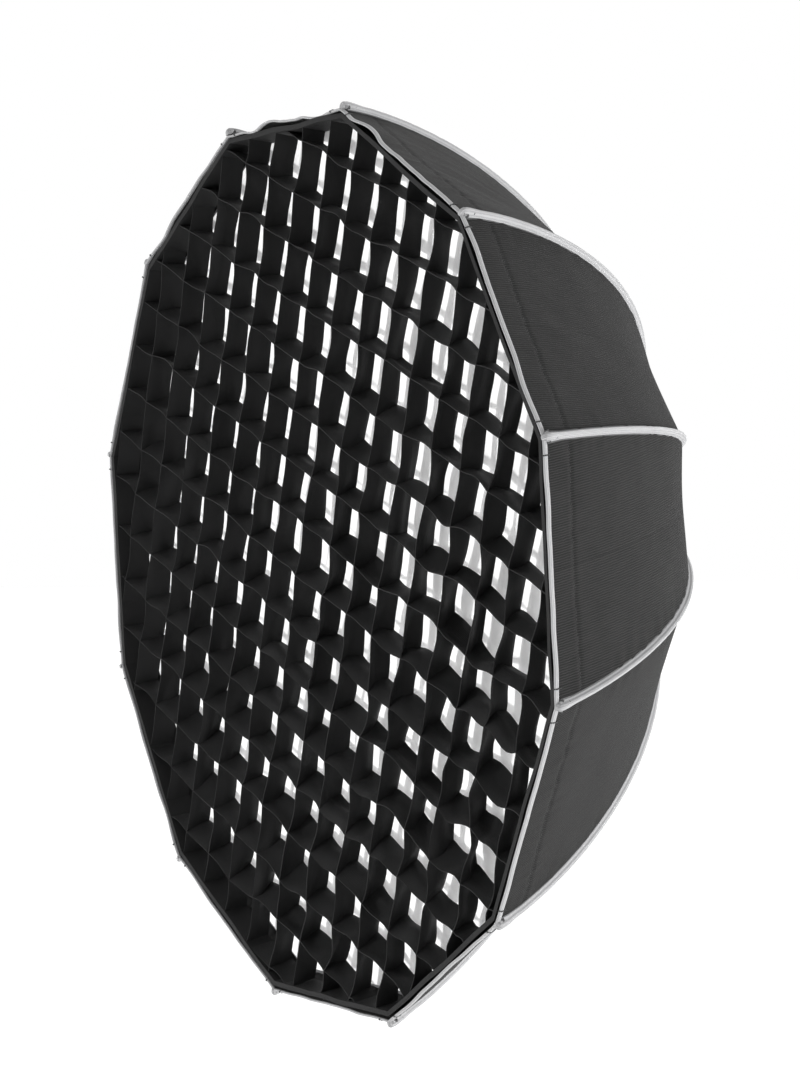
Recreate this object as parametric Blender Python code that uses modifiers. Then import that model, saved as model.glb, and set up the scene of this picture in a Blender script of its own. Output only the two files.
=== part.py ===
"""Twelve-sided folding softbox: a speedring with twelve hinged rods, a sewn shell, two diffusers and a grid.

Metres, +Z up. The optical axis is the Y axis and the light leaves towards -Y. The origin is the centre
of the mount flange's back face, where the softbox meets the lamp.
"""

import math

import bmesh
import bpy
from mathutils import Matrix, Vector

# Shell: a dodecagon across its rod tips, with a flat side at the top
RIBS = 12
RIM_RADIUS = 0.600           # axis to the rod's centreline at the rim
SHELL_DEPTH = 0.460          # rod pivots to the rim plane
APEX_DEPTH = 0.4625          # rim plane to the point where the rod curve would meet the axis
BOW = 1.22                   # exponents of the rod's curve, which turns in sharply behind its shoulder
SHOULDER = 0.381
SAG = 0.062                  # how far the rim hangs below the hub's axis
SAG_BOW = 0.90               # exponent of the sag along the rods
SHELL_THICKNESS = 0.0015
SHELL_STATIONS = 12          # straight stretches that the rod's curve is made of
STATION_BOW = 1.50           # exponent that packs the stretches closer together near the hub
SHELL_START = 0.0055         # pivots to the cloth's edge round the speedring
GAP = 0.0003                 # between pieces that touch
INTO = 0.002                 # how far a lug, tooth or tab runs into the ring it is part of
OFF_FACE = 0.0004            # its faces stand this far inside the ring's faces
SLOPE_STEP = 0.001           # distance over which the shell's slope is taken

# Hinged rods
PIVOT_RADIUS = 0.088
PIVOT_Y = -0.016
FIRST_STRAIGHT = 0.030       # axial length over which the rod is still straight
ROD_RADIUS = 0.0025
ROD_END_INSET = 0.012        # rod tip to the rim plane
KNUCKLE_BARREL = 0.006
KNUCKLE_WIDTH = 0.0120
SLEEVE_RADIUS = 0.0050
SLEEVE_LENGTH = 0.036        # pivot to the sleeve's mouth
SLEEVE_PASS = 0.0044         # how much further the cloth stands off the rod beside the sleeve
SLEEVE_CLEAR = 0.060         # axial distance at which the cloth lies on the bare rod again
SLEEVE_START = 0.0010
SOCKET_START = 0.0095        # pivot to the bottom of the rod's socket
SOCKET_PAST = 0.0100         # the socket's cutter runs this far out of the sleeve's mouth
HOLE_HALF = 0.0200           # half length of the wire hole's cutter
ROD_START = 0.0100
CAP_RADIUS = 0.0038
CAP_LENGTH = 0.0130
CAP_SOCKET = 0.0070

# Mount ring: the part that locks on the lamp
MOUNT_BORE = 0.0450
MOUNT_FLANGE_RADIUS = 0.0720
MOUNT_FLANGE = 0.0050
SLEEVE_OUT = 0.0565
MOUNT_FRONT = -0.0290
COLLAR_RADIUS = 0.0485
COLLAR_LENGTH = 0.0110
LUG_RADIUS = 0.0520
LUG_THICKNESS = 0.0040
LUG_ARC = math.radians(34)
LUGS = 3

# Speedring and the rings on its front
RING_BORE = 0.0570
RING_SIDES = 50
RING_RADIUS = 0.0960
RING_BACK = -0.0055
RING_FRONT = -0.0260
SLOT_INNER = 0.0805
SLOT_REACH = 0.0400          # radial length of the cutter, past the ring's edge
SLOT_TALL = 0.0800           # its length along the axis, past both faces
SLOT_WIDTH = 0.0128
WIRE_RADIUS = 0.0015
WIRE_CHANNEL = 0.0040        # width of the groove that the wire lies in
EDGE_BREAK = 0.0020          # turned chamfer on the ring's back edge
RETAINER_RADIUS = 0.0655
RETAINER_BACK = -0.0265
COVER_INNER = 0.0665
COVER_FRONT = -0.0296
RELEASE_INNER = 0.0675
RELEASE_RADIUS = 0.0795
RELEASE_FRONT = -0.0345
RELEASE_TOOTH = 0.0830
TOOTH_BESIDE = math.radians(8)
TOOTH_HALF = math.radians(1.7)
RELEASE_TAB = 0.1080
TAB_HALF = math.radians(3.5)

# Lock knob on the speedring's side, between two rods
KNOB_AZIMUTH = math.radians(180)
KNOB_Y = -0.0100
SCREW_RADIUS = 0.0025
SCREW_INNER = 0.0600
SCREW_HOLE = (0.0500, 0.1050)   # the tapped hole runs past the ring's bore and its edge
KNOB_INNER = 0.0985
KNOB_OUTER = 0.1130
KNOB_RADIUS = 0.0105
KNOB_LOBES = 6
FLUTE_RADIUS = 0.0030
FLUTE_CENTRE = 0.0120
FLUTE_SPAN = (0.0900, 0.1200)

# Fabrics across the shell, as distances behind the rim plane
GRID_FRONT = 0.004
GRID_DEPTH = 0.034
GRID_RADIUS = 0.576
GRID_BORDER = 0.004
GRID_WEB = 0.002
POCKET_PAST = 0.010          # the pockets' cutters run this far past the grid's faces
DIFFUSER_INSET = 0.042
DIFFUSER_RADIUS = 0.575
BAFFLE_INSET = 0.220
BAFFLE_RADIUS = 0.340
CLOTH_THICKNESS = 0.0015

STEP = 2 * math.pi / RIBS
HALF = STEP / 2
RIM_Y = PIVOT_Y - SHELL_DEPTH


def clear_scene():
    for old in list(bpy.data.objects):
        bpy.data.objects.remove(old, do_unlink=True)


def make_collection(name):
    collection = bpy.data.collections.new(name)
    bpy.context.scene.collection.children.link(collection)
    return collection


def make_material(name, colour, roughness, metallic=0.0):
    material = bpy.data.materials.new(name)
    material.use_nodes = True
    shader = material.node_tree.nodes["Principled BSDF"]
    shader.inputs["Base Color"].default_value = (*colour, 1.0)
    shader.inputs["Roughness"].default_value = roughness
    shader.inputs["Metallic"].default_value = metallic
    return material


def add_object(name, mesh, collection, material, parent=None):
    piece = bpy.data.objects.new(name, mesh)
    collection.objects.link(piece)
    piece.parent = parent
    if material:
        mesh.materials.clear()
        mesh.materials.append(material)
    return piece


def add_cutter(name, mesh, collection):
    cutter = add_object(name, mesh, collection, None)
    cutter.hide_render = True
    cutter.display_type = "WIRE"
    return cutter


def mesh_from(build, name, closed=True):
    """A mesh that build() fills in a fresh bmesh."""
    work = bmesh.new()
    build(work)
    mesh = bpy.data.meshes.new(name)
    if closed:
        bmesh.ops.recalc_face_normals(work, faces=work.faces)
    work.to_mesh(mesh)
    work.free()
    return mesh


def rod_mesh(name, radius, start, end, sides):
    """A straight round bar between two points."""
    start, end = Vector(start), Vector(end)
    along = end - start
    turn = along.to_track_quat("Z", "Y").to_matrix().to_4x4()
    place = Matrix.Translation((start + end) / 2) @ turn

    def build(work):
        bmesh.ops.create_cone(
            work,
            cap_ends=True,
            segments=sides,
            radius1=radius,
            radius2=radius,
            depth=along.length,
            matrix=place,
        )

    return mesh_from(build, name)


def ring_mesh(name, outline, steps):
    """A ring turned about the Y axis from a closed outline of (radius, y) corners."""

    def build(work):
        corners = [work.verts.new((0.0, y, radius)) for radius, y in outline]
        edges = [work.edges.new((a, b)) for a, b in zip(corners, corners[1:] + corners[:1])]
        bmesh.ops.spin(
            work,
            geom=corners + edges,
            cent=(0, 0, 0),
            axis=(0, 1, 0),
            angle=2 * math.pi,
            steps=steps,
            use_merge=True,
        )
        bmesh.ops.remove_doubles(work, verts=work.verts, dist=1e-6)

    return mesh_from(build, name)


def cut(piece, cutter, operation="DIFFERENCE"):
    modifier = piece.modifiers.new(f"{operation.lower()} {cutter.name}", "BOOLEAN")
    modifier.operation = operation
    modifier.object = cutter


def frozen_mesh(piece, name):
    """The piece's mesh with its modifiers applied, so that copies can share it."""
    bpy.context.view_layer.update()
    evaluated = piece.evaluated_get(bpy.context.evaluated_depsgraph_get())
    mesh = bpy.data.meshes.new_from_object(evaluated)
    mesh.name = name
    return mesh


def rib_azimuth(index):
    """Angle of a rod round the Y axis, from +Z towards +X."""
    return HALF + index * STEP


def rod_radius_at(forward):
    """Distance from the shell's axis to the rod's centreline, a given way forward of the pivots."""
    if forward < FIRST_STRAIGHT:
        climb = rod_radius_at(FIRST_STRAIGHT) - PIVOT_RADIUS
        return PIVOT_RADIUS + climb * forward / FIRST_STRAIGHT
    behind_rim = max(SHELL_DEPTH - forward, 0.0)
    return RIM_RADIUS * (1 - (behind_rim / APEX_DEPTH) ** BOW) ** SHOULDER


def sag_at(forward):
    share = max(forward - FIRST_STRAIGHT, 0.0) / (SHELL_DEPTH - FIRST_STRAIGHT)
    return SAG * share**SAG_BOW


def in_rib_frame(across, forward, radius, azimuth):
    """A point of the sagging shell seen from its rod's pivot: X along the hinge, Y back, Z outward."""
    drop = sag_at(forward)
    return Vector(
        (
            across + drop * math.sin(azimuth),
            -forward,
            radius - PIVOT_RADIUS - drop * math.cos(azimuth),
        )
    )


def sleeve_direction():
    """Direction of the rod where it leaves the pivot, in the rib's frame."""
    end = Vector((0, -FIRST_STRAIGHT, rod_radius_at(FIRST_STRAIGHT) - PIVOT_RADIUS))
    return end.normalized()


def shell_stations():
    """Distances forward of the pivots, closer together near the hub, where the rod climbs fastest."""
    length = SHELL_DEPTH - FIRST_STRAIGHT
    return [FIRST_STRAIGHT + length * (i / SHELL_STATIONS) ** STATION_BOW for i in range(SHELL_STATIONS + 1)]


def make_pivots(collection):
    """An empty on each rod's hinge axis."""
    pivots = []
    for index in range(RIBS):
        azimuth = rib_azimuth(index)
        empty = bpy.data.objects.new(f"rib_{index + 1:02d}_pivot", None)
        collection.objects.link(empty)
        empty.location = (PIVOT_RADIUS * math.sin(azimuth), PIVOT_Y, PIVOT_RADIUS * math.cos(azimuth))
        empty.rotation_euler = (0, azimuth, 0)
        pivots.append(empty)
    return pivots


def make_knuckles(collection, cutters, pivots, material):
    """A hinge barrel on the pivot wire and a socket that grips the rod's end."""
    half = KNUCKLE_WIDTH / 2
    way = sleeve_direction()
    barrel = rod_mesh("knuckle barrel", KNUCKLE_BARREL, (-half, 0, 0), (half, 0, 0), 14)
    sleeve = rod_mesh("knuckle sleeve", SLEEVE_RADIUS, way * SLEEVE_START, way * SLEEVE_LENGTH, 12)
    mouth = way * (SLEEVE_LENGTH + SOCKET_PAST)
    socket = rod_mesh("knuckle socket", ROD_RADIUS + GAP, way * SOCKET_START, mouth, 10)
    hole = rod_mesh("knuckle hole", WIRE_RADIUS + GAP, (-HOLE_HALF, 0, 0), (HOLE_HALF, 0, 0), 10)
    pattern = add_cutter("knuckle pattern", barrel, cutters)
    cut(pattern, add_cutter("knuckle sleeve", sleeve, cutters), "UNION")
    cut(pattern, add_cutter("knuckle socket", socket, cutters))
    cut(pattern, add_cutter("knuckle hole", hole, cutters))
    mesh = frozen_mesh(pattern, "knuckle")
    for index, pivot in enumerate(pivots):
        add_object(f"knuckle_{index + 1:02d}", mesh, collection, material, pivot)


def make_rods(collection, pivots, material):
    """Spring-steel rods, straight in the knuckle and bowed from there to the rim."""
    way = sleeve_direction()
    last = SHELL_DEPTH - ROD_END_INSET
    for index, pivot in enumerate(pivots):
        azimuth = rib_azimuth(index)
        points = [way * ROD_START]
        for station in shell_stations():
            forward = min(station, last)
            points.append(in_rib_frame(0, forward, rod_radius_at(forward), azimuth))
        curve = bpy.data.curves.new(f"rod_{index + 1:02d}", "CURVE")
        curve.dimensions = "3D"
        spline = curve.splines.new("POLY")
        spline.points.add(len(points) - 1)
        for control, point in zip(spline.points, points):
            control.co = (*point, 1.0)
        curve.bevel_depth = ROD_RADIUS
        curve.bevel_resolution = 2
        curve.use_fill_caps = True
        add_object(f"rod_{index + 1:02d}", curve, collection, material, pivot)


def make_tip_caps(collection, pivots, material):
    """Blind plastic caps that keep the rod tips from piercing the corner pockets."""
    inner = ROD_RADIUS + GAP
    for index, pivot in enumerate(pivots):
        azimuth = rib_azimuth(index)
        end = SHELL_DEPTH - ROD_END_INSET
        before = shell_stations()[-2]
        tip = in_rib_frame(0, end, rod_radius_at(end), azimuth)
        way = (tip - in_rib_frame(0, before, rod_radius_at(before), azimuth)).normalized()
        mesh = bpy.data.meshes.new(f"tip_cap_{index + 1:02d}")
        outline = [
            (0.0, CAP_LENGTH),
            (CAP_RADIUS * 0.6, CAP_LENGTH),
            (CAP_RADIUS, CAP_LENGTH - CAP_RADIUS * 0.5),
            (CAP_RADIUS, 0.0),
            (inner, 0.0),
            (inner, CAP_SOCKET),
            (0.0, CAP_SOCKET),
        ]
        mesh.from_pydata([(r, 0, h) for r, h in outline], [(i, i + 1) for i in range(len(outline) - 1)], [])
        cap = add_object(mesh.name, mesh, collection, material, pivot)
        cap.location = tip - way * (CAP_SOCKET - GAP)
        cap.rotation_mode = "QUATERNION"
        cap.rotation_quaternion = way.to_track_quat("Z", "Y")
        turn = cap.modifiers.new("turned", "SCREW")
        turn.steps = 10
        turn.render_steps = 10
        turn.use_merge_vertices = True
        turn.merge_threshold = 1e-5


def make_gores(collection, pivots, material):
    """Shell cloth from the middle of one side, over the rod, to the middle of the next."""
    stations = [SHELL_START, *shell_stations()]
    rows = len(stations) - 1
    for index, pivot in enumerate(pivots):
        azimuth = rib_azimuth(index)

        def build(work, azimuth=azimuth):
            bmesh.ops.create_grid(work, x_segments=2, y_segments=rows, size=1.0)
            for vertex in work.verts:
                column = round(vertex.co.x)
                row = round((1 - vertex.co.y) / 2 * rows)
                vertex.co = gore_point(column, stations[row], azimuth)

        mesh = mesh_from(build, f"shell_gore_{index + 1:02d}", closed=False)
        gore = add_object(mesh.name, mesh, collection, material, pivot)
        wall = gore.modifiers.new("cloth", "SOLIDIFY")
        wall.thickness = SHELL_THICKNESS
        wall.offset = -1.0
        wall.use_even_offset = True


def gore_point(column, forward, azimuth):
    """A point on the gore's outer face: column 0 is under the rod, -1 and 1 are the middles of the sides."""
    beside_sleeve = (SLEEVE_CLEAR - forward) / (SLEEVE_CLEAR - FIRST_STRAIGHT)
    under = ROD_RADIUS + 2 * GAP + SLEEVE_PASS * min(max(beside_sleeve, 0.0), 1.0)
    rise = rod_radius_at(forward + SLOPE_STEP) - rod_radius_at(forward)
    slope = Vector((rise, SLOPE_STEP)).normalized()
    radius = rod_radius_at(forward) - under * slope.y
    forward = min(forward + under * slope.x, SHELL_DEPTH)
    if column == 0:
        return in_rib_frame(0, forward, radius, azimuth)
    across = radius * math.cos(HALF) * math.sin(HALF) - GAP
    return in_rib_frame(column * across, forward, radius * math.cos(HALF) ** 2, azimuth)


def make_mount_ring(collection, cutters, material):
    """Flange that stays on the lamp, with a collar and three bayonet lugs behind it."""
    outline = [
        (MOUNT_BORE, COLLAR_LENGTH),
        (COLLAR_RADIUS, COLLAR_LENGTH),
        (COLLAR_RADIUS, 0.0),
        (MOUNT_FLANGE_RADIUS, 0.0),
        (MOUNT_FLANGE_RADIUS, -MOUNT_FLANGE),
        (MOUNT_BORE, -MOUNT_FLANGE),
    ]
    ring = add_object("mount_ring", ring_mesh("mount_ring", outline, 48), collection, material)
    for index in range(LUGS):
        middle = 2 * math.pi * index / LUGS
        mesh = arc_block(
            f"bayonet lug {index + 1}",
            (COLLAR_RADIUS - INTO, LUG_RADIUS),
            (COLLAR_LENGTH - LUG_THICKNESS, COLLAR_LENGTH - OFF_FACE),
            (middle - LUG_ARC / 2, middle + LUG_ARC / 2),
        )
        cut(ring, add_cutter(mesh.name, mesh, cutters), "UNION")


def make_mount_sleeve(collection, material):
    """Turned sleeve on the flange's front, which the speedring turns on."""
    outline = [
        (MOUNT_BORE, -MOUNT_FLANGE - GAP),
        (SLEEVE_OUT, -MOUNT_FLANGE - GAP),
        (SLEEVE_OUT, MOUNT_FRONT),
        (MOUNT_BORE, MOUNT_FRONT),
    ]
    add_object("mount_sleeve", ring_mesh("mount_sleeve", outline, 48), collection, material)


def arc_block(name, radii, planes, angles, steps=5):
    """A curved block between two radii, two planes across Y and two angles from +Z."""
    (inner, outer), (front, back), (start, end) = radii, planes, angles

    def build(work):
        outline = [(inner, front), (outer, front), (outer, back), (inner, back)]
        corners = [work.verts.new((r * math.sin(start), y, r * math.cos(start))) for r, y in outline]
        face = work.faces.new(corners)
        bmesh.ops.spin(
            work, geom=[face], cent=(0, 0, 0), axis=(0, 1, 0), angle=end - start, steps=steps
        )
        bmesh.ops.holes_fill(work, edges=work.edges)
        bmesh.ops.remove_doubles(work, verts=work.verts, dist=1e-6)

    return mesh_from(build, name)


def make_insert_retainer(collection, material):
    """Snap ring that keeps the speedring on the mount ring's sleeve."""
    outline = [
        (SLEEVE_OUT + GAP, MOUNT_FRONT),
        (RETAINER_RADIUS, MOUNT_FRONT),
        (RETAINER_RADIUS, RETAINER_BACK),
        (SLEEVE_OUT + GAP, RETAINER_BACK),
    ]
    add_object("insert_retainer", ring_mesh("insert_retainer", outline, 40), collection, material)


def slot_cutter(name, cutters):
    """The twelve radial slots that the knuckles swing in, as one cutter."""

    def build(work):
        size = Matrix.Diagonal((SLOT_WIDTH, SLOT_TALL, SLOT_REACH, 1.0))
        outward = Matrix.Translation((0, PIVOT_Y, SLOT_INNER + SLOT_REACH / 2))
        for index in range(RIBS):
            turn = Matrix.Rotation(rib_azimuth(index), 4, "Y")
            bmesh.ops.create_cube(work, size=1.0, matrix=turn @ outward @ size)

    return add_cutter(name, mesh_from(build, name), cutters)


def polygon_ring(name, inner, outer, back, front):
    """A twelve-sided ring whose sides face the rods; the radii are those of its sides."""
    outline = [(inner, back), (outer, back), (outer, front), (inner, front)]

    def build(work):
        corners = [work.verts.new((0, y, r / math.cos(HALF))) for r, y in outline]
        edges = [work.edges.new((a, b)) for a, b in zip(corners, corners[1:] + corners[:1])]
        bmesh.ops.spin(
            work,
            geom=corners + edges,
            cent=(0, 0, 0),
            axis=(0, 1, 0),
            angle=2 * math.pi,
            steps=RIBS,
            use_merge=True,
        )
        bmesh.ops.remove_doubles(work, verts=work.verts, dist=1e-6)

    return mesh_from(build, name)


def knob_point(radius):
    """A point on the lock screw's axis, a given distance from the ring's axis."""
    return Vector((radius * math.sin(KNOB_AZIMUTH), KNOB_Y, radius * math.cos(KNOB_AZIMUTH)))


def make_speedring(collection, cutters, slots, material):
    """Cast ring with twelve slots for the knuckles, a groove for the pivot wire and a tapped hole."""
    outline = [
        (RING_BORE, RING_BACK),
        (RING_RADIUS - EDGE_BREAK, RING_BACK),
        (RING_RADIUS, RING_BACK - EDGE_BREAK),
        (RING_RADIUS, RING_FRONT),
        (RING_BORE, RING_FRONT),
    ]
    ring = add_object("speedring_body", ring_mesh("speedring_body", outline, RING_SIDES), collection, material)
    cut(ring, slots)
    half = WIRE_CHANNEL / 2
    floor = PIVOT_Y + WIRE_RADIUS + GAP
    groove = polygon_ring("wire groove", PIVOT_RADIUS - half, PIVOT_RADIUS + half, floor, RING_FRONT - INTO)
    cut(ring, add_cutter("wire groove", groove, cutters))
    start, end = knob_point(SCREW_HOLE[0]), knob_point(SCREW_HOLE[1])
    hole = rod_mesh("screw hole", SCREW_RADIUS + GAP, start, end, 12)
    cut(ring, add_cutter("screw hole", hole, cutters))


def make_pivot_wire(collection, material):
    """One closed wire, bent to twelve straight sides, that every knuckle turns on."""
    curve = bpy.data.curves.new("pivot_wire", "CURVE")
    curve.dimensions = "3D"
    spline = curve.splines.new("POLY")
    spline.points.add(RIBS - 1)
    corner = PIVOT_RADIUS / math.cos(HALF)
    for index, control in enumerate(spline.points):
        azimuth = index * STEP
        control.co = (corner * math.sin(azimuth), PIVOT_Y, corner * math.cos(azimuth), 1.0)
    spline.use_cyclic_u = True
    curve.bevel_depth = WIRE_RADIUS
    curve.bevel_resolution = 2
    add_object("pivot_wire", curve, collection, material)


def make_pivot_cover(collection, slots, material):
    """Flat ring screwed on the speedring's front, which shuts the wire's groove."""
    outline = [
        (COVER_INNER, RING_FRONT - GAP),
        (RING_RADIUS, RING_FRONT - GAP),
        (RING_RADIUS, COVER_FRONT),
        (COVER_INNER, COVER_FRONT),
    ]
    cover = add_object("pivot_cover", ring_mesh("pivot_cover", outline, RING_SIDES), collection, material)
    cut(cover, slots)


def make_release_ring(collection, cutters, material):
    """Sprung ring with twelve small teeth beside the knuckles and one thumb tab."""
    back = COVER_FRONT - GAP
    outline = [
        (RELEASE_INNER, back),
        (RELEASE_RADIUS, back),
        (RELEASE_RADIUS, RELEASE_FRONT),
        (RELEASE_INNER, RELEASE_FRONT),
    ]
    ring = add_object("release_ring", ring_mesh("release_ring", outline, 48), collection, material)
    front = RELEASE_FRONT + OFF_FACE
    for index in range(RIBS):
        beside = rib_azimuth(index) - TOOTH_BESIDE
        mesh = arc_block(
            f"release tooth {index + 1}",
            (RELEASE_RADIUS - INTO, RELEASE_TOOTH),
            (front + OFF_FACE, back - OFF_FACE),
            (beside - TOOTH_HALF, beside + TOOTH_HALF),
            1,
        )
        cut(ring, add_cutter(mesh.name, mesh, cutters), "UNION")
    radii = (RELEASE_RADIUS - INTO - INTO / 2, RELEASE_TAB)
    tab = arc_block("release tab", radii, (front, back - OFF_FACE / 2), (-TAB_HALF, TAB_HALF), 3)
    cut(ring, add_cutter("release tab", tab, cutters), "UNION")


def make_lock_knob(collection, cutters, material):
    """Thumb screw through the speedring's side, which clamps it on the mount ring."""
    head = rod_mesh("lock_knob", KNOB_RADIUS, knob_point(KNOB_INNER), knob_point(KNOB_OUTER), 24)
    knob = add_object("lock_knob", head, collection, material)
    for index in range(KNOB_LOBES):
        angle = 2 * math.pi * index / KNOB_LOBES
        beside = Vector((math.cos(angle), math.sin(angle), 0)) * FLUTE_CENTRE
        start, end = (knob_point(reach) + beside for reach in FLUTE_SPAN)
        flute = rod_mesh(f"knob flute {index + 1}", FLUTE_RADIUS, start, end, 8)
        cut(knob, add_cutter(flute.name, flute, cutters))
    screw = rod_mesh("lock screw", SCREW_RADIUS, knob_point(SCREW_INNER), knob_point(KNOB_INNER + INTO), 12)
    cut(knob, add_cutter("lock screw", screw, cutters), "UNION")


def sheet_mesh(name, radius, front, back):
    """A flat twelve-sided panel with a corner at each rod."""
    depth = back - front

    def build(work):
        drop = Matrix.Translation((0, (front + back) / 2, -sag_at(PIVOT_Y - front)))
        turn = Matrix.Rotation(math.radians(90), 4, "X") @ Matrix.Rotation(HALF, 4, "Z")
        bmesh.ops.create_cone(
            work,
            cap_ends=True,
            segments=RIBS,
            radius1=radius,
            radius2=radius,
            depth=depth,
            matrix=drop @ turn,
        )

    return mesh_from(build, name)


def make_sheets(collection, white, inner_white):
    """The front diffuser inside the rim, and the smaller one half-way down the shell."""
    back = RIM_Y + DIFFUSER_INSET + CLOTH_THICKNESS
    mesh = sheet_mesh("front_diffuser", DIFFUSER_RADIUS, RIM_Y + DIFFUSER_INSET, back)
    add_object("front_diffuser", mesh, collection, white)
    back = RIM_Y + BAFFLE_INSET + CLOTH_THICKNESS
    mesh = sheet_mesh("inner_diffuser", BAFFLE_RADIUS, RIM_Y + BAFFLE_INSET, back)
    add_object("inner_diffuser", mesh, collection, inner_white)


def make_grid(collection, cutters, material):
    """The grid's outer size: a band round its edge, joined by a web where the cell strips cross."""
    front = RIM_Y + GRID_FRONT
    back = front + GRID_DEPTH
    grid = add_object("grid", sheet_mesh("grid", GRID_RADIUS, front, back), collection, material)
    middle = (front + back) / 2
    pocket = GRID_RADIUS - GRID_BORDER
    ahead = sheet_mesh("grid front pocket", pocket, front - POCKET_PAST, middle - GRID_WEB / 2)
    behind = sheet_mesh("grid back pocket", pocket, middle + GRID_WEB / 2, back + POCKET_PAST)
    level = -sag_at(PIVOT_Y - front)
    for mesh, near in ((ahead, front - POCKET_PAST), (behind, middle + GRID_WEB / 2)):
        pocket_cutter = add_cutter(mesh.name, mesh, cutters)
        pocket_cutter.location.z = level + sag_at(PIVOT_Y - near)
        cut(grid, pocket_cutter)


def main():
    clear_scene()
    parts = make_collection("octabox")
    cutters = make_collection("cutters")
    black_cloth = make_material("shell cloth", (0.030, 0.030, 0.032), 0.85)
    grid_cloth = make_material("grid cloth", (0.012, 0.012, 0.013), 0.80)
    white_cloth = make_material("front diffuser cloth", (0.90, 0.90, 0.89), 0.75)
    inner_cloth = make_material("inner diffuser cloth", (0.86, 0.86, 0.85), 0.75)
    steel = make_material("rod steel", (0.42, 0.42, 0.43), 0.35, 1.0)
    black_metal = make_material("ring casting", (0.035, 0.035, 0.038), 0.45, 0.6)
    bare_metal = make_material("mount steel", (0.60, 0.60, 0.61), 0.30, 1.0)
    moulded = make_material("moulded nylon", (0.020, 0.020, 0.021), 0.50)
    accent = make_material("release grey", (0.30, 0.30, 0.31), 0.50)

    pivots = make_pivots(parts)
    make_knuckles(parts, cutters, pivots, black_metal)
    make_rods(parts, pivots, steel)
    make_tip_caps(parts, pivots, moulded)
    make_gores(parts, pivots, black_cloth)
    slots = slot_cutter("knuckle slots", cutters)
    make_mount_ring(parts, cutters, bare_metal)
    make_mount_sleeve(parts, bare_metal)
    make_insert_retainer(parts, steel)
    make_speedring(parts, cutters, slots, black_metal)
    make_pivot_wire(parts, steel)
    make_pivot_cover(parts, slots, black_metal)
    make_release_ring(parts, cutters, accent)
    make_lock_knob(parts, cutters, moulded)
    make_sheets(parts, white_cloth, inner_cloth)
    make_grid(parts, cutters, grid_cloth)


main()
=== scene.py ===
import math
import random

import bmesh
import bpy
from mathutils import Matrix, Vector, noise


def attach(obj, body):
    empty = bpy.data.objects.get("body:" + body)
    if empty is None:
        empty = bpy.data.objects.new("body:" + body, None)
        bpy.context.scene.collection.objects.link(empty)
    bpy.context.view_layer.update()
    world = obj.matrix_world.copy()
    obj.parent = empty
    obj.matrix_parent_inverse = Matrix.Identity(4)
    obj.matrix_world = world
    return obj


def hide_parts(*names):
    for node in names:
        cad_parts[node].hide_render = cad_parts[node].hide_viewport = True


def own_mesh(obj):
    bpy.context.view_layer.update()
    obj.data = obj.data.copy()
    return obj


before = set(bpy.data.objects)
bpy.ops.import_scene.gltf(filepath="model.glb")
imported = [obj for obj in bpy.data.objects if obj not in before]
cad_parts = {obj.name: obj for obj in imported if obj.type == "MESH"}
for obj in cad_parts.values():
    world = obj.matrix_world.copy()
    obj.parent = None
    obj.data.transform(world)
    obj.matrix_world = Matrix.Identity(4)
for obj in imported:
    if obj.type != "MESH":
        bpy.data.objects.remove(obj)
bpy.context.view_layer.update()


# ---------------------------------------------------------------- camera, floor and light
# A pale floor well under the softbox, an even white surround, and soft lights that pick out the
# folds: one low in front for the diffuser, one overhead, one behind for the shell's far end.
bpy.context.scene.view_settings.view_transform = "Standard"
floor_up = Vector((-0.0080, 0.0644, 0.9979)).normalized()

camera = bpy.data.objects.new("camera", bpy.data.cameras.new("camera"))
bpy.context.collection.objects.link(camera)
camera.data.lens = 102.5
camera_back = Vector((0.86101, -0.50701, 0.03961)).normalized()
camera_right = floor_up.cross(camera_back).normalized()
camera_up = camera_back.cross(camera_right)
camera.matrix_world = Matrix.Translation((3.54382, -2.42050, 0.11836)) @ Matrix(
    (camera_right, camera_up, camera_back)
).transposed().to_4x4()
bpy.context.scene.camera = camera

bpy.ops.object.select_all(action="DESELECT")
bpy.ops.mesh.primitive_plane_add(
    size=160, location=floor_up * -1.40, rotation=floor_up.to_track_quat("Z", "Y").to_euler()
)
floor = bpy.context.object
floor.name = "floor"
paint = bpy.data.materials.new("floor paint")
paint.use_nodes = True
shader = paint.node_tree.nodes["Principled BSDF"]
shader.inputs["Base Color"].default_value = (0.93, 0.93, 0.93, 1)
shader.inputs["Roughness"].default_value = 0.9
shader.inputs["Emission Color"].default_value = (1, 1, 1, 1)
shader.inputs["Emission Strength"].default_value = 0.18
floor.data.materials.append(paint)

surround = bpy.data.worlds.new("surround")
surround.use_nodes = True
surround.node_tree.nodes["Background"].inputs["Color"].default_value = (1, 1, 1, 1)
surround.node_tree.nodes["Background"].inputs["Strength"].default_value = 1.0
bpy.context.scene.world = surround


def studio_light(name, at, across, power):
    """A square soft light that faces the middle of the softbox."""
    data = bpy.data.lights.new(name, "AREA")
    data.size = across
    data.energy = power
    light = bpy.data.objects.new(name, data)
    bpy.context.collection.objects.link(light)
    light.location = at
    light.rotation_euler = (Vector((0, -0.25, -0.05)) - Vector(at)).to_track_quat("-Z", "Y").to_euler()


studio_light("front light", (-0.95, -5.0, -0.75), 0.3, 150)
studio_light("overhead light", (-1.4, 0.8, 3.0), 1.6, 45)
studio_light("rear light", (3.0, 2.2, -1.05), 0.9, 200)


# ---------------------------------------------------------------- speedring, mount and knob
# The casting, cover and knuckles are black-enamelled alloy, the mount ring is turned steel, and
# the release ring, knob and rod caps are moulded nylon. Each gets its grain, wear and gloss.
def nodes_of(material):
    return material.node_tree.nodes, material.node_tree.links


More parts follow.
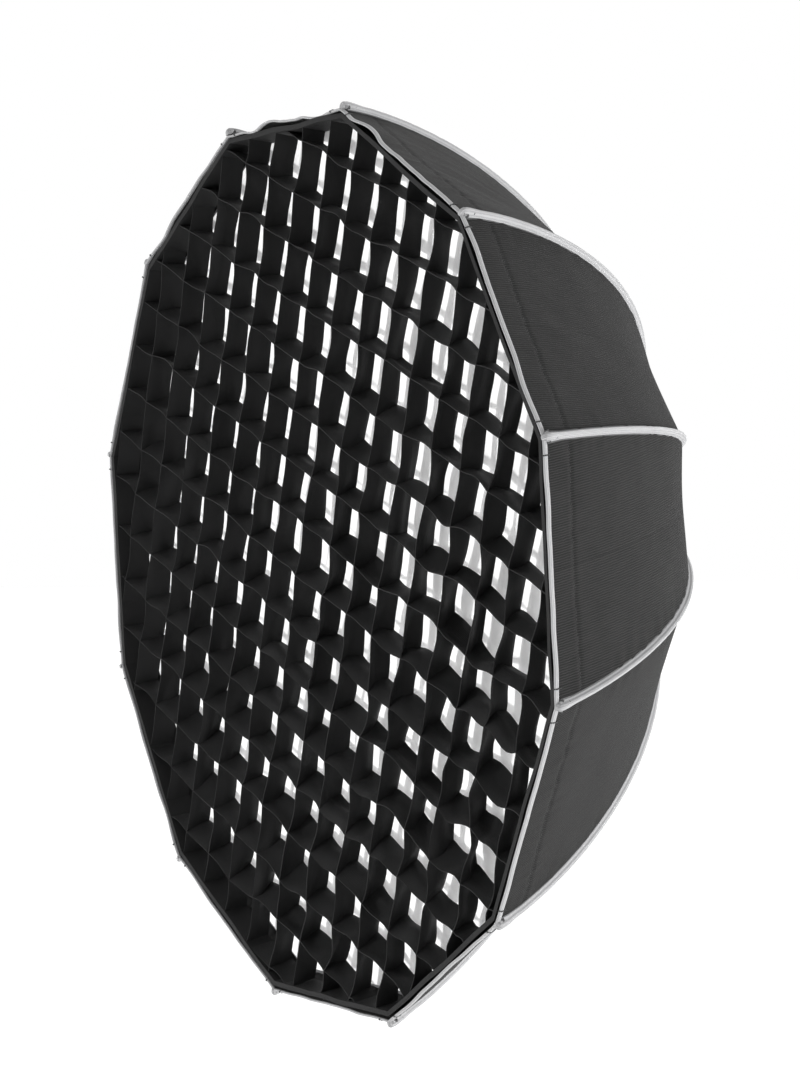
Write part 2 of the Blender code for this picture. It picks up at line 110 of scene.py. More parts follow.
def hard_finish(name, colour, rough, metallic, grain, depth, wear=0.0):
    """Metal or moulded plastic with a fine grain, uneven gloss and lighter patches at random, lighter still
    where wear is given.
    """
    material = bpy.data.materials.new(name)
    material.use_nodes = True
    nodes, links = nodes_of(material)
    shader = nodes["Principled BSDF"]
    shader.inputs["Metallic"].default_value = metallic
    place = nodes.new("ShaderNodeTexCoord")
    cloud = nodes.new("ShaderNodeTexNoise")
    cloud.inputs["Scale"].default_value = 38
    cloud.inputs["Detail"].default_value = 5
    links.new(place.outputs["Object"], cloud.inputs["Vector"])
    tone = nodes.new("ShaderNodeMix")
    tone.data_type = "RGBA"
    tone.inputs["A"].default_value = (*[c * 0.82 for c in colour], 1)
    tone.inputs["B"].default_value = (*[min(c * 1.2 + wear, 1) for c in colour], 1)
    links.new(cloud.outputs["Fac"], tone.inputs["Factor"])
    links.new(tone.outputs["Result"], shader.inputs["Base Color"])
    gloss = nodes.new("ShaderNodeMapRange")
    gloss.inputs["To Min"].default_value = rough - 0.08
    gloss.inputs["To Max"].default_value = rough + 0.12
    links.new(cloud.outputs["Fac"], gloss.inputs["Value"])
    links.new(gloss.outputs["Result"], shader.inputs["Roughness"])
    fine = nodes.new("ShaderNodeTexNoise")
    fine.inputs["Scale"].default_value = grain
    fine.inputs["Detail"].default_value = 3
    links.new(place.outputs["Object"], fine.inputs["Vector"])
    bump = nodes.new("ShaderNodeBump")
    bump.inputs["Strength"].default_value = 0.35
    bump.inputs["Distance"].default_value = depth
    links.new(fine.outputs["Fac"], bump.inputs["Height"])
    links.new(bump.outputs["Normal"], shader.inputs["Normal"])
    return material


def coat(node, material):
    """Gives a CAD node's object its finish."""
    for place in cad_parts[node].material_slots:
        place.link = "OBJECT"
        place.material = material


enamel = hard_finish("black enamel", (0.030, 0.030, 0.032), 0.42, 0.3, 900, 0.0004, 0.01)
turned_steel = hard_finish("turned steel", (0.55, 0.55, 0.56), 0.32, 1.0, 1400, 0.0001)
spring_steel = hard_finish("spring steel", (0.40, 0.40, 0.41), 0.30, 1.0, 1100, 0.0001)
black_nylon = hard_finish("black nylon", (0.018, 0.018, 0.019), 0.52, 0.0, 1600, 0.0003)
grey_nylon = hard_finish("grey nylon", (0.27, 0.27, 0.28), 0.50, 0.0, 1600, 0.0003)
coat("mount_ring", turned_steel)
coat("mount_sleeve", turned_steel)
coat("insert_retainer", spring_steel)
coat("speedring_body", enamel)
coat("pivot_cover", enamel)
coat("pivot_wire", spring_steel)
coat("release_ring", grey_nylon)
coat("lock_knob", black_nylon)


# ---------------------------------------------------------------- rods, knuckles and tip caps
# Twelve bowed spring-steel rods, each socketed in a cast knuckle that swings on the pivot wire,
# with a nylon cap on its tip. They bow the same way and hang a little under the shell's weight.
RIBS = 12
HALF = math.pi / RIBS
PIVOT_RADIUS = 0.088
PIVOT_Y = -0.016
SHELL_DEPTH = 0.460
RIM_Y = PIVOT_Y - SHELL_DEPTH
STRAIGHT = 0.030
RIM_SAG = 0.062


def rib_turn(rib):
    return HALF + 2 * HALF * rib


def rod_radius(forward):
    """Distance from the axis to a rod's centreline, a given way forward of the pivots."""
    if forward < STRAIGHT:
        return PIVOT_RADIUS + (rod_radius(STRAIGHT) - PIVOT_RADIUS) * forward / STRAIGHT
    return 0.600 * (1 - (max(SHELL_DEPTH - forward, 0) / 0.4625) ** 1.22) ** 0.381


def sag(forward):
    return RIM_SAG * (max(forward - STRAIGHT, 0) / (SHELL_DEPTH - STRAIGHT)) ** 0.90


def outward_of_rod(forward):
    """The unit vector square to a rod and away from the axis, as (radius, forward)."""
    climb = (rod_radius(forward + 0.002) - rod_radius(forward - 0.002)) / 0.004
    return Vector((1, -climb)).normalized()


def in_row(azimuth, radius, forward, beside=0.0):
    """A point of the hanging shell: azimuth from the top, radius, distance forward, and sideways."""
    return Vector((
        radius * math.sin(azimuth) + beside * math.cos(azimuth),
        PIVOT_Y - forward,
        radius * math.cos(azimuth) - beside * math.sin(azimuth) - sag(forward),
    ))


for rib in range(RIBS):
    coat(f"knuckle_{rib + 1:02d}", enamel)
    coat(f"rod_{rib + 1:02d}", spring_steel)
    coat(f"tip_cap_{rib + 1:02d}", black_nylon)


# ---------------------------------------------------------------- shell cloth
# Black ribbed polyester backed with silver, cut as one gore for each rod from the middle of one
# side to the middle of the next. It hollows a little between rods and puckers along its seams.
def laid_grid(name, across, along, point, wrap, turned=False):
    """A mesh grid whose corners are moved to point(u, v), with u and v from 0 to 1; wrap gives its UVs."""
    bpy.ops.object.select_all(action="DESELECT")
    bpy.ops.mesh.primitive_grid_add(x_subdivisions=across, y_subdivisions=along, size=2)
    piece = bpy.context.object
    piece.name = name
    mesh = piece.data
    mesh.name = name
    shares = [((corner.co.x + 1) / 2, (corner.co.y + 1) / 2) for corner in mesh.vertices]
    for corner, share in zip(mesh.vertices, shares):
        corner.co = point(*share)
    sheet = mesh.uv_layers.active.data
    for face in mesh.polygons:
        middle = sum(shares[v][0] for v in face.vertices) / len(face.vertices)
        for loop in face.loop_indices:
            sheet[loop].uv = wrap(*shares[mesh.loops[loop].vertex_index], middle)
    if turned:
        mesh.flip_normals()
    return piece


def apply_all(piece):
    bpy.ops.object.select_all(action="DESELECT")
    piece.select_set(True)
    bpy.context.view_layer.objects.active = piece
    for modifier in list(piece.modifiers):
        bpy.ops.object.modifier_apply(modifier=modifier.name)


def thicken(piece, thickness, side=-1.0, lining=0):
    """Gives a sheet its wall; lining is the material slot of its inner face."""
    wall = piece.modifiers.new("wall", "SOLIDIFY")
    wall.thickness = thickness
    wall.offset = side
    wall.use_even_offset = False
    wall.material_offset = lining
    apply_all(piece)


def smooth(piece, degrees=35):
    bpy.ops.object.select_all(action="DESELECT")
    piece.select_set(True)
    bpy.context.view_layer.objects.active = piece
    bpy.ops.object.shade_smooth_by_angle(angle=math.radians(degrees))


def woven(name, colour, lighter, pitch, depth, rough, sheen, slub=0.6):
    """Ribbed cloth on a UV map in metres: ribs run along V, crossed by finer threads, with slubs."""
    material = bpy.data.materials.new(name)
    material.use_nodes = True
    nodes, links = nodes_of(material)
    shader = nodes["Principled BSDF"]
    shader.inputs["Roughness"].default_value = rough
    shader.inputs["Sheen Weight"].default_value = sheen
    shader.inputs["Sheen Roughness"].default_value = 0.5
    shader.inputs["Specular IOR Level"].default_value = 0.12
    place = nodes.new("ShaderNodeTexCoord")

    def threads(scale, direction):
        wave = nodes.new("ShaderNodeTexWave")
        wave.bands_direction = direction
        wave.inputs["Scale"].default_value = scale
        wave.inputs["Distortion"].default_value = 1.5
        wave.inputs["Detail"].default_value = 2
        wave.inputs["Detail Scale"].default_value = 1.5
        links.new(place.outputs["UV"], wave.inputs["Vector"])
        return wave.outputs["Fac"]

    def blotch(scale, stretch):
        spread = nodes.new("ShaderNodeMapping")
        spread.inputs["Scale"].default_value = stretch
        links.new(place.outputs["UV"], spread.inputs["Vector"])
        cloud = nodes.new("ShaderNodeTexNoise")
        cloud.inputs["Scale"].default_value = scale
        cloud.inputs["Detail"].default_value = 4
        links.new(spread.outputs["Vector"], cloud.inputs["Vector"])
        return cloud.outputs["Fac"]

    def sum_of(first, second, share):
        add = nodes.new("ShaderNodeMath")
        add.operation = "MULTIPLY_ADD"
        links.new(second, add.inputs[0])
        add.inputs[1].default_value = share
        links.new(first, add.inputs[2])
        return add.outputs["Value"]

    ribs = threads(0.314 / pitch, "X")
    cross = threads(0.314 / (pitch * 0.55), "Y")
    slubs = blotch(1.0, (1 / (pitch * 1.3), 1 / (pitch * 14), 1))
    patches = blotch(14, (1, 1, 1))
    relief = sum_of(sum_of(ribs, cross, 0.45), slubs, slub)
    bump = nodes.new("ShaderNodeBump")
    bump.inputs["Strength"].default_value = 0.7
    bump.inputs["Distance"].default_value = depth
    links.new(relief, bump.inputs["Height"])
    links.new(bump.outputs["Normal"], shader.inputs["Normal"])
    tone = nodes.new("ShaderNodeMapRange")
    tone.inputs["From Min"].default_value = 0.5
    tone.inputs["From Max"].default_value = 2.3
    links.new(sum_of(relief, patches, 0.7), tone.inputs["Value"])
    mix = nodes.new("ShaderNodeMix")
    mix.data_type = "RGBA"
    mix.inputs["A"].default_value = (*colour, 1)
    mix.inputs["B"].default_value = (*lighter, 1)
    links.new(tone.outputs["Result"], mix.inputs["Factor"])
    links.new(mix.outputs["Result"], shader.inputs["Base Color"])
    return material


shell_cloth = woven(
    "shell cloth", (0.0015, 0.0015, 0.0016), (0.024, 0.0238, 0.0235), 0.0030, 0.0012, 0.75, 0.02
)
silver = woven("silver lining", (0.42, 0.42, 0.43), (0.62, 0.62, 0.63), 0.0018, 0.0003, 0.38, 0.0)
silver.node_tree.nodes["Principled BSDF"].inputs["Metallic"].default_value = 0.7


HEM_DEPTH = 0.044


def rim_wave(azimuth):
    """How far the loose edge strays (outward, forward); the top sides are the slackest."""
    slack = 0.0018 + 0.0090 * max(math.cos(azimuth), 0) ** 5
    across = Vector((math.sin(azimuth) * 10.0, 4.1, math.cos(azimuth) * 10.0))
    off_corner = abs((azimuth / (2 * HALF)) % 1.0 - 0.5)
    free = min((0.5 - off_corner) * 5, 1.0)
    return noise.noise(across) * slack * free, noise.noise(across + Vector((9, 3, 5))) * slack * free * 1.3


def cloth_point(rib, turn, forward):
    """A point of the shell's outer face, at an angle from its rod."""
    azimuth = rib_turn(rib) + turn
    beside_sleeve = min(max((0.060 - forward) / 0.030, 0), 1)
    away = outward_of_rod(forward) * -(0.0031 + 0.0044 * beside_sleeve)
    ridge = rod_radius(forward) + away.x
    forward = min(forward + away.y, SHELL_DEPTH)
    to_side = HALF - abs(turn)
    radius = ridge * math.cos(HALF) / math.cos(to_side)
    share = abs(turn) / HALF
    middle = forward / SHELL_DEPTH
    hollow = -0.0035 * math.sin(share * math.pi / 2) ** 2 * math.sin(math.pi * min(middle, 1)) ** 0.6
    spot = in_row(azimuth, radius, forward)
    top = max(math.cos(azimuth - 0.45), 0) ** 5
    folds = noise.noise(spot * 6.0) * (0.0032 + 0.004 * top) * share
    folds += noise.noise(spot * 17.0) * 0.0011 * share
    drag = noise.noise(Vector((azimuth * 30 + forward * 22, forward * 5, 2.0))) * (0.0008 + 0.0026 * top)
    behind = SHELL_DEPTH - forward
    drag *= share * max(0, 1 - abs(behind - 0.09) / 0.14)
    round_rim = Vector((math.sin(azimuth) * 55, math.cos(azimuth) * 55, 1.0))
    pucker = noise.noise(round_rim) * 0.0022 * math.exp(-(((behind - HEM_DEPTH) / 0.016) ** 2))
    groove = -0.0017 * math.exp(-(((behind - HEM_DEPTH) / 0.0035) ** 2))
    beside = radius * math.sin(abs(turn))
    ruffle = noise.noise(Vector((forward * 70, rib * 3.0, 6.0))) * 0.0020
    ruffle *= math.exp(-((beside / 0.022) ** 2))
    lift = hollow + folds + drag + (pucker + groove + ruffle) * min(share * 12, 1)
    wave_out, wave_on = rim_wave(azimuth)
    near_rim = min(max(1 - behind / 0.09, 0), 1) ** 2
    outward = outward_of_rod(forward)
    return in_row(
        azimuth,
        radius + outward.x * lift + wave_out * near_rim,
        forward + outward.y * lift + wave_on * near_rim,
    )


def cloth_wrap(rib, turn, forward, right_side):
    """UV of the shell cloth: U from the middle of the side, V along the rod, both in metres."""
    chord = rod_radius(forward) * math.cos(HALF) * math.tan(HALF - abs(turn))
    return (-chord if right_side else chord) + rib * 0.37, forward * 1.05 + rod_radius(forward) * 0.55


def gather_to_rod(piece):
    """Gives a sewn piece its own copy of its mesh."""
    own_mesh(piece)


CLOTH_START = 0.0055
CLOTH_WALL = 0.0012
CLOTH_ROWS = 120
FACING = 0.046
RIM_KEEP = 0.50
BEFORE_HEM = SHELL_DEPTH - 0.060


def row_forward(v):
    """Spaces the cloth's rows, closest together at the hub and at the hem."""
    if v < 0.8:
        return CLOTH_START + (BEFORE_HEM - CLOTH_START) * (v / 0.8) ** 1.6
    return BEFORE_HEM + (SHELL_DEPTH - BEFORE_HEM) * (v - 0.8) / 0.2


# Each gore is in three lengths, since the cloth nearest the hub gathers least as the rods fold:
# name, first and last share of its rows, how much width is left when folded, and flat size.
LENGTHS = (
    ("hub", 0.0, 0.2, 0.95, (0.150, 0.190)),
    ("middle", 0.2, 0.45, 0.70, (0.225, 0.195)),
    ("rim", 0.45, 1.0, RIM_KEEP, (0.311, 0.365)),
)
for rib in range(RIBS):
    for part, first, last, keep, flat in LENGTHS:
        def place(u, v, rib=rib, first=first, last=last):
            return cloth_point(rib, (u * 2 - 1) * HALF, row_forward(first + (last - first) * v))

        def wrap(u, v, middle, rib=rib, first=first, last=last):
            forward = row_forward(first + (last - first) * v)
            return cloth_wrap(rib, (u * 2 - 1) * HALF, forward, middle > 0.5)

        rows = round(CLOTH_ROWS * (last - first))
        gore = laid_grid(f"shell_panel_{rib + 1:02d}_{part}", 48, rows, place, wrap, turned=True)
        gore.data.materials.append(shell_cloth)
        gore.data.materials.append(silver)
        thicken(gore, CLOTH_WALL, lining=1)
        for face in gore.data.polygons:
            if face.center.y < RIM_Y + FACING:
                face.material_index = 0
        smooth(gore, 40)
        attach(gore, f"rib_{rib + 1:02d}")
        gather_to_rod(gore)
        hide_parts(f"shell_gore_{rib + 1:02d}")


# ---------------------------------------------------------------- rod tapes
# A light-grey webbing sleeve sewn over each rod on the outside of the shell. It is rounded over
# the rod, flat at its stitched edges, and folds over the cap and into the rim at the front.
trim_web = woven("grey webbing", (0.22, 0.22, 0.224), (0.36, 0.36, 0.364), 0.0014, 0.0004, 0.8, 0.1)
# The darker material on each tape's outer edges is painted shade: a dark outline where the tape meets the
# shell, not a dyed edge.
tape_edge_shade = woven("painted edge shade", (0.055, 0.055, 0.056), (0.11, 0.11, 0.112), 0.0014, 0.0004, 0.8, 0.05)
TAPE_START = 0.0075
TAPE_HALF = 0.0060
EDGE_SHADE_FROM = 0.72
CAP_AT = SHELL_DEPTH - 0.0025


def tape_line(v):
    """Centreline of a tape as ((radius, forward), outward, crown height, width)."""
    along = v * 1.06
    if along < 1.0:
        forward = TAPE_START + (CAP_AT - TAPE_START) * along**1.6
        spread = min(max(1 - (SHELL_DEPTH - 0.008 - forward) / 0.020, 0), 1)
        outward = outward_of_rod(forward)
        return Vector((rod_radius(forward), forward)), outward, 0.0033 + 0.0020 * spread, 1 + 0.3 * spread
    tip = Vector((rod_radius(CAP_AT), CAP_AT))
    turned = min((along - 1.0) / 0.025, 1.0)
    angle = turned * math.pi / 2
    inward = max((along - 1.025) / 0.035, 0) * 0.004
    return tip - Vector((inward, 0)), Vector((math.cos(angle), math.sin(angle))), 0.0053, 1.3


def tape_face(rib):
    """The outer face of one rod's tape, as a function of its width and length."""
    def place(u, v):
        spot, outward, crown, wide = tape_line(v)
        side = (u * 2 - 1) * TAPE_HALF * wide
        share = abs(u * 2 - 1)
        fall = min(max(share - 0.25, 0) / 0.55, 1.0)
        height = crown - (crown + 0.0040) * (1 - math.cos(fall * math.pi)) / 2
        height -= max(share - 0.80, 0) * TAPE_HALF * math.tan(HALF) * 1.2
        height += noise.noise(Vector((v * 60, u * 2, rib * 4.0))) * 0.0003
        bottom = spot + outward * height
        return in_row(rib_turn(rib), bottom.x, bottom.y, side)

    return place


for rib in range(RIBS):
    def wrap(u, v, middle, rib=rib):
        return u * TAPE_HALF * 2, v * 0.85 + rib

    tape = laid_grid(f"rod_tape_{rib + 1:02d}", 16, 130, tape_face(rib), wrap, turned=True)
    tape.data.materials.append(trim_web)
    tape.data.materials.append(tape_edge_shade)
    edge_uv = tape.data.uv_layers.active.data
    # Faces in each tape's outer edges take the darker material, a painted shade line along the tape's edges.
    for face in tape.data.polygons:
        across = sum(edge_uv[loop].uv.x for loop in face.loop_indices) / len(face.loop_indices)
        face.material_index = int(abs(across / TAPE_HALF - 1) > EDGE_SHADE_FROM)
    thicken(tape, 0.0008)
    smooth(tape, 50)
    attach(tape, f"rib_{rib + 1:02d}")


# ---------------------------------------------------------------- sewing
# The tapes are held by two rows of grey lockstitch, the hem behind the rim by a row of black, and
# a black bar tack stands each side of every corner. Every stitch is a short humped thread.
black_thread = hard_finish("black thread", (0.010, 0.010, 0.010), 0.6, 0.0, 2500, 0.0002)
grey_thread = hard_finish("grey thread", (0.30, 0.30, 0.31), 0.6, 0.0, 2500, 0.0002)
STITCH = 0.0030
STITCH_PITCH = 0.0042
THREAD = 0.0004


def sewn_row(name, spots, thread, material, rib, gathers):
    """Short threads laid on (point, along, outward) places, as one piece on its rib."""
    work = bmesh.new()
    for spot, way, outward in spots:
        side = way.cross(outward) * thread
        outline = ((-0.5, -0.6), (-0.25, 1.0), (0.25, 1.0), (0.5, -0.6))
        rings = []
        for on, up in outline:
            middle = spot + way * (on * STITCH) + outward * (up * thread)
            low = middle - outward * thread * 1.2
            corners = (middle + side * 0.6, middle - side * 0.6, low - side, low + side)
            rings.append([work.verts.new(corner) for corner in corners])
        for first, second in zip(rings, rings[1:]):
            for a in range(4):
                b = (a + 1) % 4
                work.faces.new((first[a], first[b], second[b], second[a]))
        work.faces.new(rings[0][::-1])
        work.faces.new(rings[-1])
    bmesh.ops.recalc_face_normals(work, faces=work.faces)
    mesh = bpy.data.meshes.new(name)
    work.to_mesh(mesh)
    work.free()
    row = bpy.data.objects.new(name, mesh)
    bpy.context.collection.objects.link(row)
    mesh.materials.append(material)
    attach(row, f"rib_{rib + 1:02d}")
    if gathers:
        gather_to_rod(row)


HEM = SHELL_DEPTH - HEM_DEPTH
RIM_REACH = 0.59
BESIDE_TAPE = 0.010
TACK_TURN = 0.034
TACK_STEP = 0.0026
STITCHED_LENGTH = 0.70
for rib in range(RIBS):
    spots = []
    count = int(2 * HALF * RIM_REACH / STITCH_PITCH)
    for step in range(count):
        turn = ((step + 0.5) / count * 2 - 1) * HALF
        if abs(turn) * RIM_REACH < BESIDE_TAPE:
            continue
        spot = cloth_point(rib, turn, HEM)
        way = (cloth_point(rib, turn + 0.002, HEM) - spot).normalized()
        on = (cloth_point(rib, turn, HEM + 0.002) - spot).normalized()
        spots.append((spot, way, on.cross(way).normalized()))
    sewn_row(f"hem_stitching_{rib + 1:02d}", spots, 0.0008, black_thread, rib, True)
    tacks = []
    for turn in (-TACK_TURN, TACK_TURN):
        for step in range(3):
            spot = cloth_point(rib, turn, SHELL_DEPTH - 0.0015 - step * TACK_STEP)
            azimuth = rib_turn(rib) + turn
            outward = Vector((math.sin(azimuth), 0, math.cos(azimuth)))
            tacks.append((spot + outward * 0.0019, Vector((0, -1, 0)), outward))
        spot = cloth_point(rib, turn, SHELL_DEPTH) + Vector((0, -0.0024, 0))
        tacks.append((spot, outward, Vector((0, -1, 0))))
    sewn_row(f"bar_tacks_{rib + 1:02d}", tacks, 0.0009, black_thread, rib, True)
    rows = []
    place = tape_face(rib)
    count = int(STITCHED_LENGTH / STITCH_PITCH)
    for u in (0.17, 0.83):
        for step in range(1, count):
            v = step / count * 0.93
            spot = place(u, v)
            way = (place(u, v + 0.002) - spot).normalized()
            beside = (place(u + 0.01, v) - spot).normalized()
            rows.append((spot, way, way.cross(beside).normalized()))
    sewn_row(f"tape_stitching_{rib + 1:02d}", rows, THREAD, grey_thread, rib, False)


# ---------------------------------------------------------------- rim binding
# Grey binding tape folded over the shell's front edge and sewn through, one length for each rod's
# gore. The slack sides at the top let it wander in and out.
def binding_section(share):
    """Rounded outline of the folded tape, as (outward, forward) from the cloth's edge."""
    angle = share * 2 * math.pi
    out = math.cos(angle)
    on = math.sin(angle)
    return (
        math.copysign(abs(out) ** 0.7, out) * 0.0015 - 0.0002,
        math.copysign(abs(on) ** 0.7, on) * 0.0031 - 0.0012,
    )


for rib in range(RIBS):
    def place(u, v, rib=rib):
        turn = (u * 2 - 1) * HALF
        edge = cloth_point(rib, turn, SHELL_DEPTH)
        out, on = binding_section(v)
        azimuth = rib_turn(rib) + turn
        return edge + Vector((math.sin(azimuth) * out, -on, math.cos(azimuth) * out))

    def wrap(u, v, middle, rib=rib):
        return v * 0.014, u * 0.311 + rib

    binding = laid_grid(f"rim_binding_{rib + 1:02d}", 64, 14, place, wrap)
    binding.data.materials.append(trim_web)
    bpy.ops.object.mode_set(mode="EDIT")
    bpy.ops.mesh.select_all(action="SELECT")
    bpy.ops.mesh.remove_doubles(threshold=1e-6)
    bpy.ops.mesh.select_all(action="DESELECT")
    bpy.ops.mesh.select_non_manifold()
    bpy.ops.mesh.edge_face_add()
    bpy.ops.mesh.select_all(action="SELECT")
    bpy.ops.mesh.normals_make_consistent(inside=False)
    bpy.ops.object.mode_set(mode="OBJECT")
    smooth(binding, 50)
    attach(binding, f"rib_{rib + 1:02d}")
    gather_to_rod(binding)


# ---------------------------------------------------------------- front diffuser
# White polyester across the shell 42 mm inside the rim, held by a hook-and-loop edge. It is
# nearly flat with soft puckers, and is made in wedges.
WEDGES = 48
diffuser_cloth = woven("diffuser cloth", (0.80, 0.80, 0.80), (0.88, 0.88, 0.88), 0.0008, 0.0002, 0.8, 0.0)
diffuser_glow_shader = diffuser_cloth.node_tree.nodes["Principled BSDF"]
# The emission is a painted glow: it makes the diffuser read bright deep in the grid's cells as if lit from
# behind, with no lamp inside the softbox.
diffuser_glow_shader.inputs["Emission Color"].default_value = (1, 1, 1, 1)
diffuser_glow_shader.inputs["Emission Strength"].default_value = 0.20


def wedge_edge(azimuth, radius):
    """Radius of a twelve-sided panel with corners at the rods."""
    to_side = abs((azimuth / (2 * HALF)) - round(azimuth / (2 * HALF))) * 2 * HALF
    return radius * math.cos(HALF) / math.cos(to_side)


def across_shell(azimuth, radius, y, drop):
    return Vector((radius * math.sin(azimuth), y, radius * math.cos(azimuth) - drop))


def gather(piece):
    """Gives a wedge its own copy of its mesh."""
    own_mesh(piece)


DIFFUSER_DROP = sag(SHELL_DEPTH - 0.042)
for wedge in range(WEDGES):
    start = wedge * 2 * math.pi / WEDGES

    def place(u, v, start=start):
        azimuth = start + u * 2 * math.pi / WEDGES
        radius = max(wedge_edge(azimuth, 0.574) * v, 0.0005)
        spot = across_shell(azimuth, radius, 0, 0)
        swell = noise.noise(spot * 5) * 0.0025 + noise.noise(spot * 17) * 0.0006
        return across_shell(azimuth, radius, RIM_Y + 0.0428 + swell * (1 - v**6), DIFFUSER_DROP)

    def wrap(u, v, middle, start=start):
        spot = place(u, v)
        return spot.x, spot.z

    cloth = laid_grid(f"front_diffuser_{wedge + 1:02d}", 10, 40, place, wrap)
    cloth.data.materials.append(diffuser_cloth)
    thicken(cloth, 0.0009)
    smooth(cloth, 60)
    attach(cloth, "front_cloth")
    gather(cloth)
    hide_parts("front_diffuser")


# ---------------------------------------------------------------- inner diffuser
# A smaller white baffle half-way down the shell, in twelve wedges.
INNER_Y = RIM_Y + 0.2208
INNER_DROP = sag(SHELL_DEPTH - 0.220)
inner_cloth = woven("inner diffuser cloth", (0.74, 0.74, 0.74), (0.84, 0.84, 0.84), 0.0010, 0.0002, 0.8, 0.0)
for wedge in range(RIBS):
    start = rib_turn(wedge) - HALF

    def place(u, v, start=start):
        azimuth = start + u * 2 * HALF
        radius = max(wedge_edge(azimuth, 0.338) * v, 0.0005)
        spot = across_shell(azimuth, radius, 0, 0)
        swell = noise.noise(spot * 6) * 0.003 * (1 - v**4)
        return across_shell(azimuth, radius, INNER_Y + swell, INNER_DROP)

    def wrap(u, v, middle, start=start):
        spot = place(u, v)
        return spot.x, spot.z

    cloth = laid_grid(f"inner_diffuser_{wedge + 1:02d}", 16, 24, place, wrap)
    cloth.data.materials.append(inner_cloth)
    thicken(cloth, 0.0009)
    smooth(cloth, 60)
    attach(cloth, "inner_cloth")
    gather(cloth)
    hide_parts("inner_diffuser")


# ---------------------------------------------------------------- grid
# Black nylon strips on edge, 68 mm apart both ways and sewn where they cross, hung between a
# deep black band that follows the rim. The strips are slack, so each cell leans and bows.
grid_cloth = woven("grid cloth", (0.004, 0.004, 0.0041), (0.010, 0.010, 0.0102), 0.0012, 0.0003, 0.55, 0.015)
PITCH = 0.0685
STRIP_DEPTH = 0.0330
SPLAY = 0.020
BACK_LIFT = 0.009
GRID_FRONT_Y = RIM_Y + 0.0010
GRID_DROP = RIM_SAG
BAND_RADIUS = 0.586
LATTICE_TURN = math.radians(-21.5)
ALONG = Vector((math.cos(LATTICE_TURN), math.sin(LATTICE_TURN)))
DOWN = Vector((math.sin(LATTICE_TURN), -math.cos(LATTICE_TURN)))
ALONG_PHASE = 0.65
DOWN_PHASE = 0.33
rng = random.Random(12)


def inside_by(spot):
    """How far a point (x, z from the grid's middle) lies inside the band."""
    reach = max(spot.x * math.sin(k * 2 * HALF) + spot.y * math.cos(k * 2 * HALF) for k in range(RIBS))
    return BAND_RADIUS * math.cos(HALF) - reach


def stray(spot, depth):
    """Where a sewn crossing has slipped to, the same for both strips that meet there."""
    slack = 1.0 + 1.2 * min(max((spot.x - spot.y + 0.1) / 0.8, 0), 1)
    held = min(max(inside_by(spot) / 0.05, 0), 1)
    at = Vector((spot.x * 9, spot.y * 9, depth * 1.3))
    fine = Vector((spot.x * 23, spot.y * 23, depth * 1.1 + 7))
    return held * slack * Vector((
        noise.noise(at) * 0.007 + noise.noise(fine) * 0.003,
        noise.noise(at + Vector((5, 1, 8))) * 0.007 + noise.noise(fine + Vector((2, 9, 4))) * 0.003,
    ))


def strip_runs(fixed, moving, place_phase, cross_phase):
    """Every strip of one direction as (offset, start, end, crossings)."""
    runs = []
    for index in range(-10, 10):
        offset = (index + place_phase) * PITCH
        steps = [s * 0.002 for s in range(-320, 321)]
        held = [s for s in steps if inside_by(fixed * offset + moving * s) > 0]
        if len(held) < 20:
            continue
        places = [(k + cross_phase) * PITCH for k in range(-10, 11)]
        crossings = [place for place in places if held[0] + 0.006 < place < held[-1] - 0.006]
        runs.append((offset, held[0], held[-1], [held[0], *crossings, held[-1]]))
    return runs


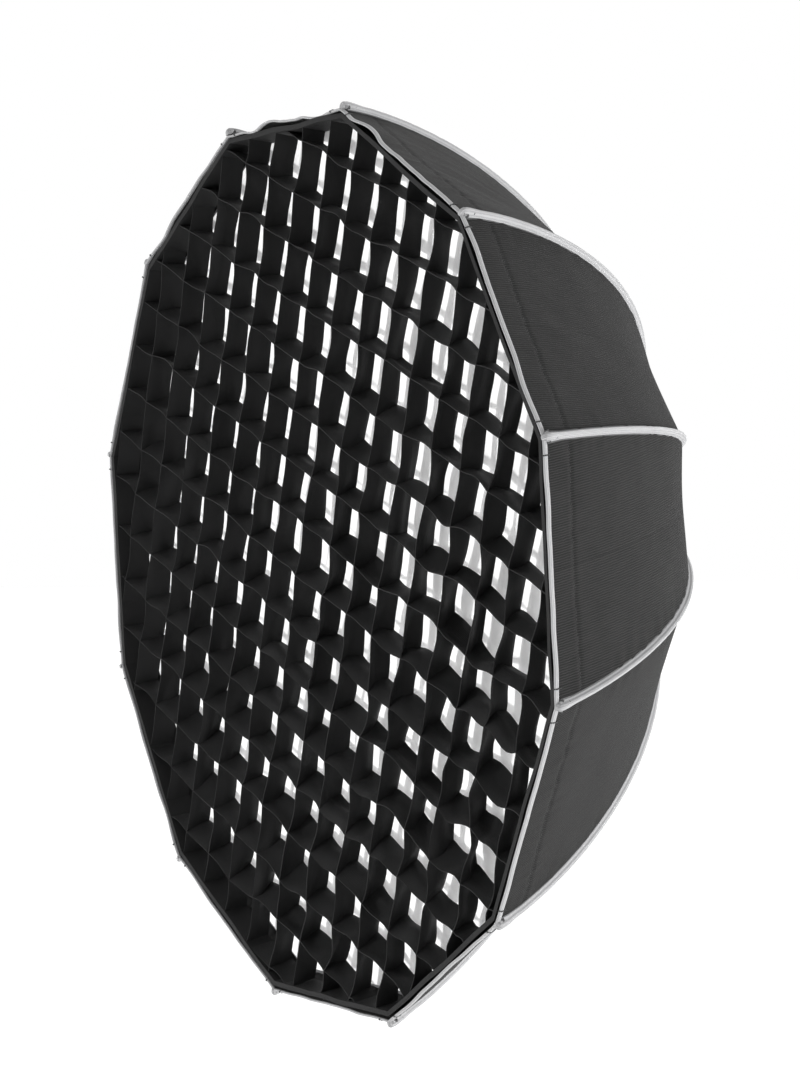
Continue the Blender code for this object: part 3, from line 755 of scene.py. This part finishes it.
lattice = bmesh.new()
sheet = lattice.loops.layers.uv.new("UVMap")
LEVELS = 6
for fixed, moving, place_phase, cross_phase in (
    (ALONG, DOWN, ALONG_PHASE, DOWN_PHASE),
    (DOWN, ALONG, DOWN_PHASE, ALONG_PHASE),
):
    for offset, start, end, stops in strip_runs(fixed, moving, place_phase, cross_phase):
        columns = []
        for low, high in zip(stops, stops[1:]):
            length = high - low
            pieces = max(round(length / 0.0085), 1)
            loose = 0.4 + 0.6 * min(length / PITCH, 1)
            centre = fixed * offset + moving * (low + high) / 2
            slack = 1.0 + 1.5 * min(max((centre.x - centre.y - 0.35) / 0.4, 0), 1)
            bow_front = rng.uniform(-0.0028, 0.0028) * loose * slack
            bow_back = rng.uniform(-0.0022, 0.0022) * loose * slack
            snake = rng.uniform(-0.0012, 0.0012) * loose * slack
            dip = rng.uniform(0.0, 0.0030) * loose
            for step in range(pieces):
                share = step / pieces
                columns.append((low + length * share, share, bow_front, bow_back, snake, dip))
        columns.append((end, 0.0, 0, 0, 0, 0))
        rows = []
        for moved, share, bow_front, bow_back, snake, dip in columns:
            row = []
            for level in range(LEVELS + 1):
                depth = level / LEVELS
                bulge = bow_front * (1 - depth) + bow_back * depth
                aside = bulge * math.sin(math.pi * share) + snake * math.sin(2 * math.pi * share)
                base = fixed * offset + moving * moved
                inside = min(max(inside_by(base) / 0.05, 0), 1)
                narrow = 0.010 * depth * (1 - inside)
                spot = base * (1 - SPLAY * depth * inside - narrow) + stray(base, depth) + fixed * aside
                spot.y += BACK_LIFT * depth * inside
                y = GRID_FRONT_Y + depth * STRIP_DEPTH + dip * math.sin(math.pi * share) * (1 - depth)
                y += noise.noise(Vector((base.x * 15, base.y * 15, 3))) * 0.0015
                row.append(lattice.verts.new((spot.x, y, spot.y - GRID_DROP)))
            rows.append(row)
        for index in range(len(rows) - 1):
            for level in range(LEVELS):
                here, on = rows[index], rows[index + 1]
                face = lattice.faces.new((here[level], on[level], on[level + 1], here[level + 1]))
                spots = ((level, index), (level, index + 1), (level + 1, index + 1), (level + 1, index))
                for loop, (up_by, on_by) in zip(face.loops, spots):
                    loop[sheet].uv = (up_by * STRIP_DEPTH / LEVELS + offset * 3, columns[on_by][0])

turn = 2 * math.pi / WEDGES
for wedge in range(WEDGES):
    part = lattice.copy()
    others = []
    for face in part.faces:
        centre = face.calc_center_median()
        azimuth = math.atan2(centre.x, centre.z + GRID_DROP) % (2 * math.pi)
        if int(azimuth / turn) != wedge:
            others.append(face)
    bmesh.ops.delete(part, geom=others, context="FACES")
    mesh = bpy.data.meshes.new(f"grid_strips_{wedge + 1:02d}")
    part.to_mesh(mesh)
    part.free()
    strips = bpy.data.objects.new(mesh.name, mesh)
    bpy.context.collection.objects.link(strips)
    mesh.materials.append(grid_cloth)
    thicken(strips, 0.0011, side=0.0)
    smooth(strips, 50)
    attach(strips, "grid")
    gather(strips)
    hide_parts("grid")
lattice.free()

for wedge in range(WEDGES):
    def place(u, v, wedge=wedge):
        azimuth = (wedge + u) * 2 * math.pi / WEDGES
        wave = noise.noise(Vector((math.sin(azimuth) * 9, v * 0.4, math.cos(azimuth) * 9))) * 0.0022
        radius = wedge_edge(azimuth, BAND_RADIUS) + wave
        lip = max(0.2 - v, 0) / 0.2
        y = GRID_FRONT_Y - 0.001 + 0.044 * max(v - 0.2, 0)
        return across_shell(azimuth, radius + lip * 0.005 - 0.006 * v, y, GRID_DROP)

    def wrap(u, v, middle, wedge=wedge):
        return v * 0.036, (wedge + u) * 0.077

    band = laid_grid(f"grid_band_{wedge + 1:02d}", 10, 10, place, wrap)
    band.data.materials.append(grid_cloth)
    thicken(band, 0.0012, side=0.0)
    smooth(band, 50)
    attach(band, "grid")
    gather(band)
